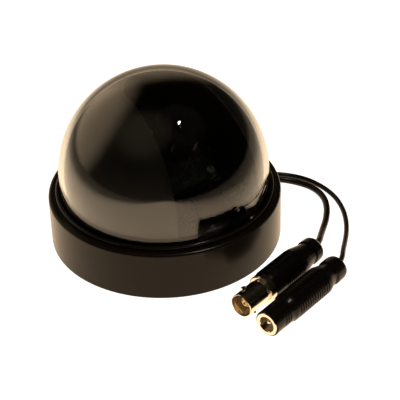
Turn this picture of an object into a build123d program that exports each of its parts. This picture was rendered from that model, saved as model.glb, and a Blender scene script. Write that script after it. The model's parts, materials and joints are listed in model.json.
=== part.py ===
"""Dome camera: a twin-lead pan and tilt board camera under a clear dome on a round surface-mount base.

Millimetres. The origin is the centre of the base's flat underside, +Z up. The dome's sphere is centred
on the Z axis, which is also the pan axis. At rest the lens looks towards -Y, 65 degrees up, and the
two leads leave the base along +X.
"""

import os
from math import asin, cos, degrees, pi, radians, sin, tan

from build123d import *

# Cover and dome
cover_radius = 47.5
cover_height = 20.8
cover_wall = 2.2
cover_top = 2.2
cover_edge_round = 1.2
lip_width = 1.55
lip_height = 1.7
dome_radius = 42.75
dome_wall = 2.1
dome_centre_height = 28.8
dome_gap = 0.3
dome_flange = 1.6
gasket_thickness = 0.8
rib_depth = 1.0
rib_height = 0.6
rib_width = 11.0

# Retainer and liner
retainer_shelf = 1.3
retainer_play = 0.15
liner_gap = 0.45
liner_wall = 1.2
liner_flange = 1.9
liner_flange_width = 2.3
liner_play = 0.3
liner_tail = 3.4
slot_end_radius = 14.0
slot_mouth = 20.5
slot_sill = 1.1

# Base
base_gap = 0.4
base_plate_thickness = 3.0
base_rim_wall = 2.4
base_rim_gap = 0.8
seal_section = 1.5
seal_drop = 2.6
seal_groove_depth = 1.2
seal_groove_width = 1.8
mount_circle = 76.0
mount_hole = 4.4
mount_head = 8.4
mount_count = 3
underside_recess = 1.0

# Pan bearing and turntable
post_radius = 10.0
post_bore = 6.5
post_land = 1.0
shoulder_radius = 14.0
shoulder_height = 5.6
running_fit = 0.06
turn_gap = 0.2
turntable_radius = 27.0
turntable_thickness = 1.8
hub_radius = 12.6
hub_height = 1.0
clip_groove = 0.7
clip_thickness = 0.8
clip_radius = 12.0
dog_width = 4.6
dog_bar = 1.8
dog_gap = 0.4
dog_reach = 0.8
lock_screw_circle = 21.0
lock_screw_angle = 135.0
lock_screw_radius = 1.5
lock_knob_radius = 3.3
lock_knob_height = 3.6

# Yoke, cradle and pivots
yoke_sheet = 1.5
yoke_ring_border = 1.5
yoke_ring_hole = 13.4
yoke_arm_width = 12.0
yoke_inside = 36.0
cradle_gap = 0.4
cradle_sheet = 1.4
cradle_depth = 30.0
cradle_back = 2.0
ear_radius = 5.5
pivot_radius = 1.6
pivot_head = 3.2
pivot_head_height = 2.0
lens_elevation = 65.0

# Camera board
board_size = 30.0
board_thickness = 1.6
board_height = 6.0
board_hole_pitch = 25.0
standoff_radius = 2.2
m2_radius = 1.0
m2_head = 1.8
m2_head_height = 1.2
screw_play = 0.05
sensor_size = 8.0
sensor_thickness = 1.3
connector_offset = 11.5
connector_size = (4.4, 8.0, 2.3)

# Lens
mount_flange = (25.0, 12.0, 2.0)
mount_screw_pitch = 21.0
lens_tube_radius = 8.2
lens_tube_top = 17.0
lens_radius = 6.0
lens_back = 11.0
lens_neck = 24.5
lens_head_radius = 7.5
lens_head_top = 28.0
lens_rear_bore = 4.5
front_glass_radius = 3.15
front_glass_seat = 25.5
front_glass_thickness = 2.3
front_glass_curve = 5.6
stop_radius = 2.4
bezel_radius = 10.0
bezel_front = 31.0
bezel_steps = 8
bezel_opening = 2.9
lock_ring_radius = 8.6
lock_ring_height = 2.2

# Leads
exit_height = 4.6
video_radius = 1.35
power_radius = 1.05
video_side = -2.3
power_side = 2.0
window_width = 9.0
window_height = 4.4
grommet_pad_height = 7.9
grommet_flange = 1.1
notch_gap = 0.4
clamp_start = 36.2
clamp_length = 4.0
clamp_width = 15.0
clamp_top = 6.2
clamp_screw_pitch = 11.6
junction_length = 5.0
junction_width = 11.0
harness_radius = 1.1
wire_run_height = 4.2

# Video connector, a bayonet jack in a moulded boot
bnc_face = (-13.5, -66.3, 6.25)
bnc_back = (33.1, -55.75, 6.25)
bnc_barrel = 4.8
bnc_bore = 4.0
bnc_bore_depth = 9.0
bnc_flange_start = 12.2
bnc_flange_end = 14.8
bnc_flange_radius = 5.9
bnc_ferrule = 4.2
bnc_ferrule_end = 21.0
bnc_lug = 1.0
bnc_lug_reach = 5.7
bnc_lug_place = 4.6
bnc_lug_turn = -30.0
bnc_insulator = 2.4
bnc_contact = 1.1
bnc_contact_bore = 0.55
bnc_boot_radius = 6.25

# Power connector, a coaxial jack in a moulded grip
dc_face = (-12.9, -80.6, 5.95)
dc_back = (32.6, -70.4, 5.95)
dc_ring = 4.7
dc_bore = 3.2
dc_bore_depth = 9.5
dc_pin = 1.05
dc_nose_radius = 5.3
dc_grip_radius = 5.95

os.makedirs("parts", exist_ok=True)


def save(name, node):
    """Labels a finished piece and writes its STEP file."""
    node.part.label = name
    export_step(node.part, f"parts/{name}.step")


def profile_plane(place):
    """The plane through a turning axis, with x as the radius and y along the axis."""
    return Plane(origin=place.origin, x_dir=place.x_dir, z_dir=-place.y_dir)


def turned(place, outline):
    """A solid turned about the place's normal from (radius, distance along it) points."""
    with BuildPart() as body:
        with BuildSketch(profile_plane(place)):
            with BuildLine():
                Polyline(*outline, close=True)
            make_face()
        revolve(axis=Axis(place.origin, place.z_dir))
    return body.part


def corner_radii(points):
    """The largest arcs that a bent lead's straight runs leave room for, one for each inner corner."""
    radii = []
    for before, corner, after in zip(points, points[1:], points[2:]):
        run_in = Vector(*corner) - Vector(*before)
        run_out = Vector(*after) - Vector(*corner)
        half_turn = radians(run_in.get_angle(run_out)) / 2
        radii.append(0.45 * min(run_in.length, run_out.length) / tan(half_turn))
    return radii


def lead(name, points, radius, radii):
    """A round lead along straight runs joined by tangent arcs."""
    with BuildPart() as node:
        with BuildLine() as route:
            FilletPolyline(*points, radius=radii)
        with BuildSketch(Plane(origin=route.line @ 0, z_dir=route.line % 0)):
            Circle(radius)
        sweep()
    length = sum(edge.length for edge in route.edges())
    share = node.part.volume / (pi * radius**2 * length)
    print(name, "length", round(length, 1), "volume / (section x length)", round(share, 4))
    print(name, "corner radii", [round(r, 1) for r in radii])
    save(name, node)


# ---------------------------------------------------------------- shared heights and radii
cover_bore = cover_radius - cover_wall
cover_ceiling = cover_height - cover_top
opening_radius = dome_radius + dome_gap
flange_top = cover_ceiling - gasket_thickness
flange_bottom = flange_top - dome_flange
flange_radius = cover_bore - dome_gap
dome_bore = dome_radius - dome_wall
liner_radius = dome_bore - liner_gap
liner_bore = liner_radius - liner_wall
liner_flange_radius = liner_radius + liner_flange_width
liner_flange_top = flange_bottom - liner_play
liner_flange_bottom = liner_flange_top - liner_flange
retainer_shelf_top = liner_flange_bottom - liner_play
retainer_bottom = retainer_shelf_top - retainer_shelf
retainer_step = liner_flange_radius + liner_play
retainer_radius = cover_bore - retainer_play
rim_radius = cover_bore - base_gap
rim_top = retainer_bottom - base_rim_gap
rim_bore = rim_radius - base_rim_wall
liner_bottom = liner_flange_bottom - liner_tail
turntable_bottom = shoulder_height + turn_gap
turntable_top = turntable_bottom + turntable_thickness
clip_bottom = turntable_top + hub_height + turn_gap
post_height = clip_bottom + clip_thickness + post_land
seal_height = rim_top - seal_drop
slot_bottom = liner_flange_top + slot_sill
dog_radius = liner_radius + dog_reach
dog_inner = liner_bore - dog_reach
dog_top = retainer_shelf_top - 1.3
arm_face = yoke_inside / 2
yoke_ring_radius = arm_face + yoke_sheet + yoke_ring_border

# ---------------------------------------------------------------- base
with BuildPart() as base_plate:
    Cylinder(
        rim_radius, base_plate_thickness, align=(Align.CENTER, Align.CENTER, Align.MIN)
    )
    with BuildSketch(Plane.XY.offset(base_plate_thickness)):
        Circle(rim_radius)
        Circle(rim_bore, mode=Mode.SUBTRACT)
    extrude(amount=rim_top - base_plate_thickness)
    with BuildSketch(Plane.XY.offset(base_plate_thickness)):
        Circle(shoulder_radius)
    extrude(amount=shoulder_height - base_plate_thickness)
    with BuildSketch(Plane.XY.offset(shoulder_height)):
        Circle(post_radius)
    extrude(amount=post_height - shoulder_height)
    # bore for the wires
    with BuildSketch(Plane.XY.offset(base_plate_thickness)):
        Circle(post_bore)
    extrude(amount=post_height, mode=Mode.SUBTRACT)
    # wires enter the bore from the +X side
    with Locations((shoulder_radius, 0, base_plate_thickness)):
        Box(
            2 * shoulder_radius,
            2 * harness_radius + 2.0,
            shoulder_height - base_plate_thickness - 0.1,
            align=(Align.CENTER, Align.CENTER, Align.MIN),
            mode=Mode.SUBTRACT,
        )
    # groove for the retaining clip
    with BuildSketch(Plane.XY.offset(clip_bottom)):
        Circle(post_radius + 1)
        Circle(post_radius - clip_groove, mode=Mode.SUBTRACT)
    extrude(amount=clip_thickness, mode=Mode.SUBTRACT)
    # groove for the seal
    with BuildSketch(Plane.XY.offset(seal_height - seal_groove_width / 2)):
        Circle(rim_radius + 1)
        Circle(rim_radius - seal_groove_depth, mode=Mode.SUBTRACT)
    extrude(amount=seal_groove_width, mode=Mode.SUBTRACT)
    # window for the grommet
    with Locations((rim_radius, 0, base_plate_thickness)):
        Box(
            4 * base_rim_wall,
            window_width,
            window_height,
            align=(Align.CENTER, Align.CENTER, Align.MIN),
            mode=Mode.SUBTRACT,
        )
    # fixing holes to the ceiling
    with Locations(Plane.XY.offset(base_plate_thickness)):
        with PolarLocations(mount_circle / 2, mount_count, start_angle=90):
            CounterSinkHole(mount_hole / 2, mount_head / 2)
    # shallow ring-shaped recess under the base
    with BuildSketch(Plane.XY):
        Circle(turntable_radius + 5)
        Circle(shoulder_radius, mode=Mode.SUBTRACT)
    extrude(amount=underside_recess, mode=Mode.SUBTRACT)
    # pilot holes for the lead clamp
    with Locations(Plane.XY.offset(base_plate_thickness)):
        with Locations(
            (clamp_start + clamp_length / 2, clamp_screw_pitch / 2),
            (clamp_start + clamp_length / 2, -clamp_screw_pitch / 2),
        ):
            Hole(m2_radius + screw_play, depth=2.0)
save("base_plate", base_plate)

with BuildPart() as cover_seal:
    with BuildSketch(Plane.XZ):
        with Locations(
            (rim_radius - seal_groove_depth + seal_section / 2 + 0.05, seal_height)
        ):
            Circle(seal_section / 2)
    revolve(axis=Axis.Z)
save("cover_seal", cover_seal)

with BuildPart() as pan_clip:
    with BuildSketch(Plane.XY.offset(clip_bottom + screw_play)):
        Circle(clip_radius)
        Circle(post_radius - clip_groove + screw_play, mode=Mode.SUBTRACT)
        with Locations((0, clip_radius)):
            Rectangle(7.0, clip_radius, mode=Mode.SUBTRACT)
    extrude(amount=clip_thickness - 2 * screw_play)
save("pan_clip", pan_clip)

# ---------------------------------------------------------------- lead outlet
exit_plane = Plane(origin=(0, 0, exit_height), x_dir=(0, 1, 0), z_dir=(1, 0, 0))

with BuildPart() as grommet:
    grommet_inside = rim_bore - grommet_flange
    pad_radius = cover_radius - 0.2
    with BuildSketch(Plane.XY.offset(base_plate_thickness + screw_play)):
        with Locations((rim_radius, 0)):
            Rectangle(4 * base_rim_wall, window_width - 2 * screw_play)
        Circle(pad_radius, mode=Mode.INTERSECT)
        Circle(rim_bore - screw_play, mode=Mode.SUBTRACT)
    extrude(amount=window_height - 2 * screw_play)
    with BuildSketch(Plane.XY.offset(0.4)):
        with Locations((rim_radius, 0)):
            Rectangle(4 * base_rim_wall, window_width)
        Circle(pad_radius, mode=Mode.INTERSECT)
        Circle(rim_radius + 0.1, mode=Mode.SUBTRACT)
    extrude(amount=grommet_pad_height - 0.4)
    with BuildSketch(Plane.XY.offset(base_plate_thickness + screw_play)):
        with Locations((rim_bore, 0)):
            Rectangle(4 * base_rim_wall, window_width + 2.0)
        Circle(rim_bore - screw_play, mode=Mode.INTERSECT)
        Circle(grommet_inside, mode=Mode.SUBTRACT)
    extrude(amount=window_height + 0.8)
    with BuildSketch(exit_plane):
        with Locations((video_side, 0)):
            Circle(video_radius + 0.3)
        with Locations((power_side, 0)):
            Circle(power_radius + 0.3)
    extrude(amount=2 * cover_radius, mode=Mode.SUBTRACT)
save("grommet", grommet)

with BuildPart() as cord_clamp:
    with Locations((clamp_start, 0, base_plate_thickness + screw_play)):
        Box(
            clamp_length,
            clamp_width,
            clamp_top - base_plate_thickness - screw_play,
            align=(Align.MIN, Align.CENTER, Align.MIN),
        )
    fillet(cord_clamp.edges().filter_by(Axis.X).group_by(Axis.Z)[-1], 0.8)
    with BuildSketch(exit_plane):
        with Locations((video_side, 0)):
            Circle(video_radius + screw_play)
        with Locations((power_side, 0)):
            Circle(power_radius + screw_play)
    extrude(amount=2 * cover_radius, mode=Mode.SUBTRACT)
    with Locations(Plane.XY.offset(clamp_top)):
        with Locations(
            (clamp_start + clamp_length / 2, clamp_screw_pitch / 2),
            (clamp_start + clamp_length / 2, -clamp_screw_pitch / 2),
        ):
            Hole(m2_radius + screw_play)
save("cord_clamp", cord_clamp)


def screw(head_place, shank_radius, shank_length, head_radius, head_height):
    """A pan-head screw whose head stands on the place's plane, with its cross recess."""
    with BuildPart() as body:
        with BuildSketch(head_place):
            Circle(head_radius)
        extrude(amount=head_height)
        with BuildSketch(head_place):
            Circle(shank_radius)
        extrude(amount=-shank_length)
        with BuildSketch(head_place.offset(head_height)):
            Rectangle(1.4 * head_radius, 0.3 * head_radius)
            Rectangle(0.3 * head_radius, 1.4 * head_radius)
        extrude(amount=-0.5 * head_height, mode=Mode.SUBTRACT)
    return body.part


with BuildPart() as clamp_screws:
    for side in (-1, 1):
        add(
            screw(
                Plane(
                    origin=(
                        clamp_start + clamp_length / 2,
                        side * clamp_screw_pitch / 2,
                        clamp_top,
                    )
                ),
                m2_radius,
                clamp_top - base_plate_thickness + 1.8,
                m2_head,
                1.0,
            )
        )
save("clamp_screws", clamp_screws)

junction_end = clamp_start - 2.2
junction_start = junction_end - junction_length
with BuildPart() as lead_junction:
    with Locations((junction_start, 0, base_plate_thickness + screw_play)):
        Box(
            junction_length,
            junction_width,
            2 * (exit_height - base_plate_thickness) - 2 * screw_play,
            align=(Align.MIN, Align.CENTER, Align.MIN),
        )
    chamfer(lead_junction.edges().filter_by(Axis.X), 0.4)
save("lead_junction", lead_junction)

with BuildPart() as harness_base:
    wire_points = [
        (junction_start, 0, wire_run_height),
        (0, 0, wire_run_height),
        (0, 0, post_height + 0.3),
    ]
    with BuildLine() as wire_route:
        FilletPolyline(*wire_points, radius=3.5)
    with BuildSketch(
        Plane(origin=wire_route.line @ 0, z_dir=wire_route.line % 0)
    ):
        Circle(harness_radius)
    sweep()
save("harness_base", harness_base)

# ---------------------------------------------------------------- leads, lying on the surface outside
video_points = [
    (junction_end, video_side, exit_height),
    (42, video_side - 0.05, exit_height),
    (50, -2.8, 4.4),
    (57.2, -5.4, 2.6),
    (62.8, -11.2, 1.5),
    (65.3, -18.8, 1.4),
    (63.8, -26.8, 1.4),
    (59.4, -33.6, 1.4),
    (53.6, -39.4, 1.45),
    (47.4, -44.4, 2.3),
    (41.6, -49.4, 4.1),
    (37.4, -53.2, 5.6),
    bnc_back,
]
power_points = [
    (junction_end, power_side, exit_height),
    (42, power_side - 0.05, exit_height),
    (50, 1.6, 4.3),
    (57.8, 0.0, 2.3),
    (63.9, -4.4, 1.15),
    (67.7, -11.4, 1.06),
    (69.0, -19.8, 1.06),
    (68.2, -28.6, 1.06),
    (65.0, -37.0, 1.06),
    (60.2, -44.6, 1.06),
    (54.4, -51.2, 1.3),
    (47.8, -57.4, 2.7),
    (41.8, -62.8, 4.5),
    (37.2, -67.4, 5.7),
    dc_back,
]
lead("cord_video", video_points, video_radius, corner_radii(video_points))
lead("cord_power", power_points, power_radius, corner_radii(power_points))

# ---------------------------------------------------------------- video connector
bnc_run = Vector(*bnc_back) - Vector(*bnc_face)
bnc_place = Plane(origin=bnc_face, x_dir=(0, 0, 1), z_dir=bnc_run.normalized())
bnc_length = bnc_run.length

with BuildPart() as bnc_body:
    add(
        turned(
            bnc_place,
            [
                (bnc_bore, 0),
                (bnc_barrel, 0),
                (bnc_barrel, bnc_flange_start),
                (bnc_flange_radius, bnc_flange_start),
                (bnc_flange_radius, bnc_flange_end),
                (bnc_ferrule, bnc_flange_end),
                (bnc_ferrule, bnc_ferrule_end),
                (0, bnc_ferrule_end),
                (0, bnc_bore_depth),
                (bnc_bore, bnc_bore_depth),
            ],
        )
    )
    lug_place = Plane(
        origin=bnc_place.offset(bnc_lug_place).origin,
        x_dir=bnc_place.z_dir,
        z_dir=bnc_place.x_dir.rotate(Axis((0, 0, 0), bnc_place.z_dir), bnc_lug_turn),
    )
    with BuildSketch(lug_place.offset(bnc_barrel - 0.5), lug_place.offset(-bnc_lug_reach)):
        Circle(bnc_lug)
    extrude(amount=bnc_lug_reach - bnc_barrel + 0.5)
save("bnc_body", bnc_body)

with BuildPart() as bnc_insulator_part:
    add(
        turned(
            bnc_place,
            [
                (bnc_contact + screw_play, 1.6),
                (bnc_insulator, 1.6),
                (bnc_insulator, bnc_bore_depth - 1.4),
                (bnc_bore - screw_play, bnc_bore_depth - 1.4),
                (bnc_bore - screw_play, bnc_bore_depth - screw_play),
                (bnc_contact + screw_play, bnc_bore_depth - screw_play),
            ],
        )
    )
save("bnc_insulator", bnc_insulator_part)

with BuildPart() as bnc_contact_part:
    add(
        turned(
            bnc_place,
            [
                (bnc_contact_bore, 2.0),
                (bnc_contact, 2.0),
                (bnc_contact, bnc_bore_depth - screw_play),
                (0, bnc_bore_depth - screw_play),
                (0, 6.5),
                (bnc_contact_bore, 6.5),
            ],
        )
    )
save("bnc_contact", bnc_contact_part)

with BuildPart() as bnc_boot:
    add(
        turned(
            bnc_place,
            [
                (bnc_ferrule + screw_play, bnc_flange_end + screw_play),
                (bnc_boot_radius - 0.5, bnc_flange_end + screw_play),
                (bnc_boot_radius, bnc_flange_end + 1.0),
                (bnc_boot_radius, 33.5),
                (bnc_boot_radius - 0.5, 36.5),
                (4.9, 41.0),
                (4.9, 42.0),
                (5.2, 42.4),
                (5.2, 45.2),
                (4.6, bnc_length - 0.6),
                (2.2, bnc_length),
                (0, bnc_length),
                (0, bnc_ferrule_end + screw_play),
                (bnc_ferrule + screw_play, bnc_ferrule_end + screw_play),
            ],
        )
    )
save("bnc_boot", bnc_boot)

# ---------------------------------------------------------------- power connector
dc_run = Vector(*dc_back) - Vector(*dc_face)
dc_place = Plane(origin=dc_face, x_dir=(0, 0, 1), z_dir=dc_run.normalized())
dc_length = dc_run.length

with BuildPart() as dc_sleeve:
    add(
        turned(
            dc_place,
            [
                (dc_bore, 0),
                (dc_ring, 0),
                (dc_ring, dc_bore_depth + 1.0),
                (dc_bore, dc_bore_depth + 1.0),
            ],
        )
    )
save("dc_sleeve", dc_sleeve)

with BuildPart() as dc_insulator:
    add(
        turned(
            dc_place,
            [
                (dc_pin + screw_play, dc_bore_depth - 1.5),
                (dc_bore - screw_play, dc_bore_depth - 1.5),
                (dc_bore - screw_play, dc_bore_depth + 1.0),
                (dc_pin + screw_play, dc_bore_depth + 1.0),
            ],
        )
    )
save("dc_insulator", dc_insulator)

with BuildPart() as dc_pin_part:
    add(
        turned(
            dc_place,
            [
                (0, 1.2),
                (dc_pin - 0.4, 1.2),
                (dc_pin, 2.0),
                (dc_pin, dc_bore_depth + 1.0),
                (0, dc_bore_depth + 1.0),
            ],
        )
    )
save("dc_pin", dc_pin_part)

with BuildPart() as dc_boot:
    add(
        turned(
            dc_place,
            [
                (dc_ring + screw_play, 0.3),
                (dc_nose_radius - 0.3, 0.3),
                (dc_nose_radius, 0.8),
                (dc_nose_radius, 10.8),
                (dc_grip_radius - 0.4, 11.4),
                (dc_grip_radius, 12.4),
                (dc_grip_radius, 34.0),
                (dc_grip_radius - 0.5, 35.2),
                (4.6, 38.0),
                (4.6, 39.4),
                (5.2, 40.0),
                (5.2, 44.2),
                (4.4, dc_length - 0.6),
                (1.9, dc_length),
                (0, dc_length),
                (0, dc_bore_depth + 1.0 + screw_play),
                (dc_ring + screw_play, dc_bore_depth + 1.0 + screw_play),
            ],
        )
    )
save("dc_boot", dc_boot)

# ---------------------------------------------------------------- cover
with BuildPart() as cover_shell:
    with BuildSketch(Plane.XZ):
        with BuildLine():
            Polyline(
                (cover_bore, 0),
                (cover_radius - 0.3, 0),
                (cover_radius, 0.3),
                (cover_radius, cover_height - cover_edge_round),
            )
            CenterArc(
                (cover_radius - cover_edge_round, cover_height - cover_edge_round),
                cover_edge_round,
                0,
                90,
            )
            Polyline(
                (cover_radius - cover_edge_round, cover_height),
                (opening_radius + lip_width, cover_height),
                (opening_radius + lip_width, cover_height + lip_height - lip_width / 2),
            )
            CenterArc(
                (opening_radius + lip_width / 2, cover_height + lip_height - lip_width / 2),
                lip_width / 2,
                0,
                180,
            )
            Polyline(
                (opening_radius, cover_height + lip_height - lip_width / 2),
                (opening_radius, cover_ceiling),
                (cover_bore, cover_ceiling),
                (cover_bore, 0),
            )
        make_face()
    revolve(axis=Axis.Z)
    # notch over the leads, open at the bottom
    with BuildSketch(Plane.YZ):
        notch_width = window_width + 2 * notch_gap
        notch_top = grommet_pad_height + notch_gap
        with BuildLine():
            Polyline(
                (-notch_width / 2, -1),
                (notch_width / 2, -1),
                (notch_width / 2, notch_top),
                (-notch_width / 2, notch_top),
                close=True,
            )
        make_face()
    extrude(amount=2 * cover_radius, mode=Mode.SUBTRACT)
    # four snap ribs under the retainer
    with BuildSketch(Plane.XY.offset(retainer_bottom - 0.05 - rib_height)):
        with PolarLocations(cover_bore, 4, start_angle=45):
            Rectangle(4 * rib_depth, rib_width)
        Circle(cover_bore + rib_depth / 2, mode=Mode.INTERSECT)
        Circle(cover_bore - rib_depth, mode=Mode.SUBTRACT)
    extrude(amount=rib_height)
save("cover_shell", cover_shell)

with BuildPart() as dome_gasket:
    with BuildSketch(Plane.XY.offset(flange_top)):
        Circle(flange_radius)
        Circle(opening_radius, mode=Mode.SUBTRACT)
    extrude(amount=gasket_thickness)
save("dome_gasket", dome_gasket)

with BuildPart() as dome:
    with BuildSketch(Plane.XZ):
        with BuildLine():
            CenterArc((0, dome_centre_height), dome_radius, 0, 90)
            Line(
                (0, dome_centre_height + dome_radius), (0, dome_centre_height + dome_bore)
            )
            CenterArc((0, dome_centre_height), dome_bore, 90, -90)
            Polyline(
                (dome_bore, dome_centre_height),
                (dome_bore, flange_bottom),
                (flange_radius, flange_bottom),
                (flange_radius, flange_top),
                (dome_radius, flange_top),
                (dome_radius, dome_centre_height),
            )
        make_face()
    revolve(axis=Axis.Z)
save("dome", dome)

with BuildPart() as dome_retainer:
    add(
        turned(
            Plane.XY,
            [
                (dog_radius + dog_gap, retainer_bottom),
                (retainer_radius, retainer_bottom),
                (retainer_radius, flange_bottom),
                (retainer_step, flange_bottom),
                (retainer_step, retainer_shelf_top),
                (dog_radius + dog_gap, retainer_shelf_top),
            ],
        )
    )
save("dome_retainer", dome_retainer)

# ---------------------------------------------------------------- liner, black, turns with the camera
with BuildPart() as liner:
    with BuildSketch(Plane.XZ):
        with BuildLine():
            CenterArc((0, dome_centre_height), liner_radius, 0, 90)
            Line(
                (0, dome_centre_height + liner_radius),
                (0, dome_centre_height + liner_bore),
            )
            CenterArc((0, dome_centre_height), liner_bore, 90, -90)
            Polyline(
                (liner_bore, dome_centre_height),
                (liner_bore, liner_bottom),
                (liner_radius, liner_bottom),
                (liner_radius, liner_flange_bottom),
                (liner_flange_radius, liner_flange_bottom),
                (liner_flange_radius, liner_flange_top),
                (liner_radius, liner_flange_top),
                (liner_radius, dome_centre_height),
            )
        make_face()
    revolve(axis=Axis.Z)
    # sighting slot, from over the top down the -Y side
    with BuildSketch(Plane.XY.offset(slot_bottom)):
        Circle(slot_end_radius)
        with BuildLine():
            Polyline(
                (slot_end_radius, 0),
                (-slot_end_radius, 0),
                (-slot_mouth, -liner_radius - 2),
                (slot_mouth, -liner_radius - 2),
                close=True,
            )
        make_face()
    extrude(amount=dome_centre_height + dome_radius, mode=Mode.SUBTRACT)
    # notches for the turntable's two dogs
    with Locations((0, 0, liner_bottom - 1)):
        Box(
            2 * cover_radius,
            dog_width + 2 * dog_gap,
            dog_top - liner_bottom + 1 + dog_gap,
            align=(Align.CENTER, Align.CENTER, Align.MIN),
            mode=Mode.SUBTRACT,
        )
save("liner", liner)

# ---------------------------------------------------------------- turntable
lock_place = (
    lock_screw_circle * cos(radians(lock_screw_angle)),
    lock_screw_circle * sin(radians(lock_screw_angle)),
)
yoke_screw_circle = (yoke_ring_radius + yoke_ring_hole) / 2
with BuildPart() as turntable:
    with BuildSketch(Plane.XY.offset(turntable_bottom)):
        Circle(turntable_radius)
    extrude(amount=turntable_thickness)
    with BuildSketch(Plane.XY.offset(turntable_top)):
        Circle(hub_radius)
    extrude(amount=hub_height)
    with Locations((0, 0, turntable_top)):
        Box(
            2 * dog_radius,
            dog_width + 2.0,
            dog_bar,
            align=(Align.CENTER, Align.CENTER, Align.MIN),
        )
    with BuildSketch(Plane.XY.offset(turntable_top)):
        Rectangle(2 * dog_radius, dog_width)
        Circle(dog_radius, mode=Mode.INTERSECT)
        Circle(dog_inner, mode=Mode.SUBTRACT)
    extrude(amount=dog_top - turntable_top)
    with BuildSketch(Plane.XY.offset(turntable_top)):
        Circle(dog_radius + 5)
        Circle(dog_radius, mode=Mode.SUBTRACT)
    extrude(amount=dog_bar, mode=Mode.SUBTRACT)
    # room for the yoke's ring, the clip and the post
    with BuildSketch(Plane.XY.offset(turntable_top)):
        Circle(yoke_ring_radius + 0.4)
        Circle(hub_radius, mode=Mode.SUBTRACT)
    extrude(amount=dog_bar, mode=Mode.SUBTRACT)
    with BuildSketch(Plane.XY.offset(turntable_top + hub_height)):
        Circle(yoke_ring_radius + 0.4)
    extrude(amount=dog_bar, mode=Mode.SUBTRACT)
    with BuildSketch(Plane.XY.offset(turntable_bottom)):
        Circle(post_radius + running_fit)
    extrude(amount=2 * turntable_thickness, mode=Mode.SUBTRACT)
    with Locations(Plane.XY.offset(turntable_top)):
        with Locations(lock_place):
            Hole(lock_screw_radius + screw_play)
        with PolarLocations(yoke_screw_circle, 2, start_angle=90):
            Hole(m2_radius + screw_play)
save("turntable", turntable)

with BuildPart() as pan_lock_screw:
    knob_bottom = turntable_top + yoke_sheet + 0.1
    with BuildSketch(Plane.XY.offset(knob_bottom)):
        with Locations(lock_place):
            Circle(lock_knob_radius)
            with PolarLocations(lock_knob_radius, 12):
                Circle(0.3, mode=Mode.SUBTRACT)
    extrude(amount=lock_knob_height)
    # backed off, its tip is just under the turntable and clears the wires along the base
    tip_height = turntable_bottom - 0.1
    with BuildSketch(Plane.XY.offset(tip_height)):
        with Locations(lock_place):
            Circle(lock_screw_radius)
    extrude(amount=knob_bottom - tip_height)
save("pan_lock_screw", pan_lock_screw)

# ---------------------------------------------------------------- yoke
with BuildPart() as yoke:
    with BuildSketch(Plane.XY.offset(turntable_top)):
        Circle(yoke_ring_radius)
        Circle(yoke_ring_hole, mode=Mode.SUBTRACT)
        with Locations(lock_place):
            Circle(lock_screw_radius + 0.4, mode=Mode.SUBTRACT)
    extrude(amount=yoke_sheet)
    for side in (-1, 1):
        with BuildSketch(Plane.YZ.offset(side * (arm_face + yoke_sheet / 2))):
            with BuildLine():
                Polyline(
                    (-yoke_arm_width / 2 - 1, turntable_top),
                    (yoke_arm_width / 2 + 1, turntable_top),
                    (yoke_arm_width / 2, dome_centre_height),
                    (-yoke_arm_width / 2, dome_centre_height),
                    close=True,
                )
            make_face()
            with Locations((0, dome_centre_height)):
                Circle(yoke_arm_width / 2)
                Circle(pivot_radius + running_fit, mode=Mode.SUBTRACT)
        extrude(amount=yoke_sheet / 2, both=True)
    with Locations(Plane.XY.offset(turntable_top + yoke_sheet)):
        with PolarLocations(yoke_screw_circle, 2, start_angle=90):
            Hole(m2_radius + screw_play, depth=yoke_sheet)
save("yoke", yoke)

with BuildPart() as yoke_screws:
    for side in (-1, 1):
        add(
            screw(
                Plane(origin=(0, side * yoke_screw_circle, turntable_top + yoke_sheet)),
                m2_radius,
                turntable_thickness + yoke_sheet - 0.1,
                m2_head,
                m2_head_height,
            )
        )
save("yoke_screws", yoke_screws)

with BuildPart() as harness_pan:
    pan_points = [
        (0, 0, post_height + 0.5),
        (0, 0, dome_centre_height - 8),
        (3.2, 0, dome_centre_height),
        (8.0, 0, dome_centre_height),
    ]
    with BuildLine() as pan_route:
        FilletPolyline(*pan_points, radius=[5.0, 3.0])
    with BuildSketch(Plane(origin=pan_route.line @ 0, z_dir=pan_route.line % 0)):
        Circle(harness_radius)
    sweep()
save("harness_pan", harness_pan)

# ---------------------------------------------------------------- camera head, built along the lens axis
lens_line = Vector(0, -cos(radians(lens_elevation)), sin(radians(lens_elevation)))
head = Plane(origin=(0, 0, dome_centre_height), x_dir=(1, 0, 0), z_dir=lens_line)
ear_face = arm_face - cradle_gap
board_front = board_height + board_thickness

with BuildPart() as tilt_cradle:
    with BuildSketch(head.offset(cradle_back)):
        Rectangle(2 * ear_face, cradle_depth)
        with Locations((connector_offset, 0)):
            Rectangle(
                connector_size[0] + 1.6, connector_size[1] + 3.0, mode=Mode.SUBTRACT
            )
    extrude(amount=cradle_sheet)
    for side in (-1, 1):
        ear_middle = side * (ear_face - cradle_sheet / 2)
        ear_plane = Plane(
            origin=head.from_local_coords((ear_middle, 0, 0)),
            x_dir=head.y_dir,
            z_dir=head.x_dir,
        )
        with BuildSketch(ear_plane):
            Circle(ear_radius)
            with BuildLine():
                Polyline(
                    (-ear_radius, 0),
                    (ear_radius, 0),
                    (ear_radius + 2, cradle_back + cradle_sheet),
                    (-ear_radius - 2, cradle_back + cradle_sheet),
                    close=True,
                )
            make_face()
            Circle(pivot_radius, mode=Mode.SUBTRACT)
        extrude(amount=cradle_sheet / 2, both=True)
save("tilt_cradle", tilt_cradle)

with BuildPart() as tilt_screws:
    for side in (-1, 1):
        outside = arm_face + yoke_sheet + turn_gap
        add(
            screw(
                Plane(
                    origin=(side * outside, 0, dome_centre_height),
                    x_dir=(0, 1, 0),
                    z_dir=(side, 0, 0),
                ),
                pivot_radius,
                outside - ear_face + cradle_sheet,
                pivot_head,
                pivot_head_height,
            )
        )
save("tilt_screws", tilt_screws)

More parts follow.
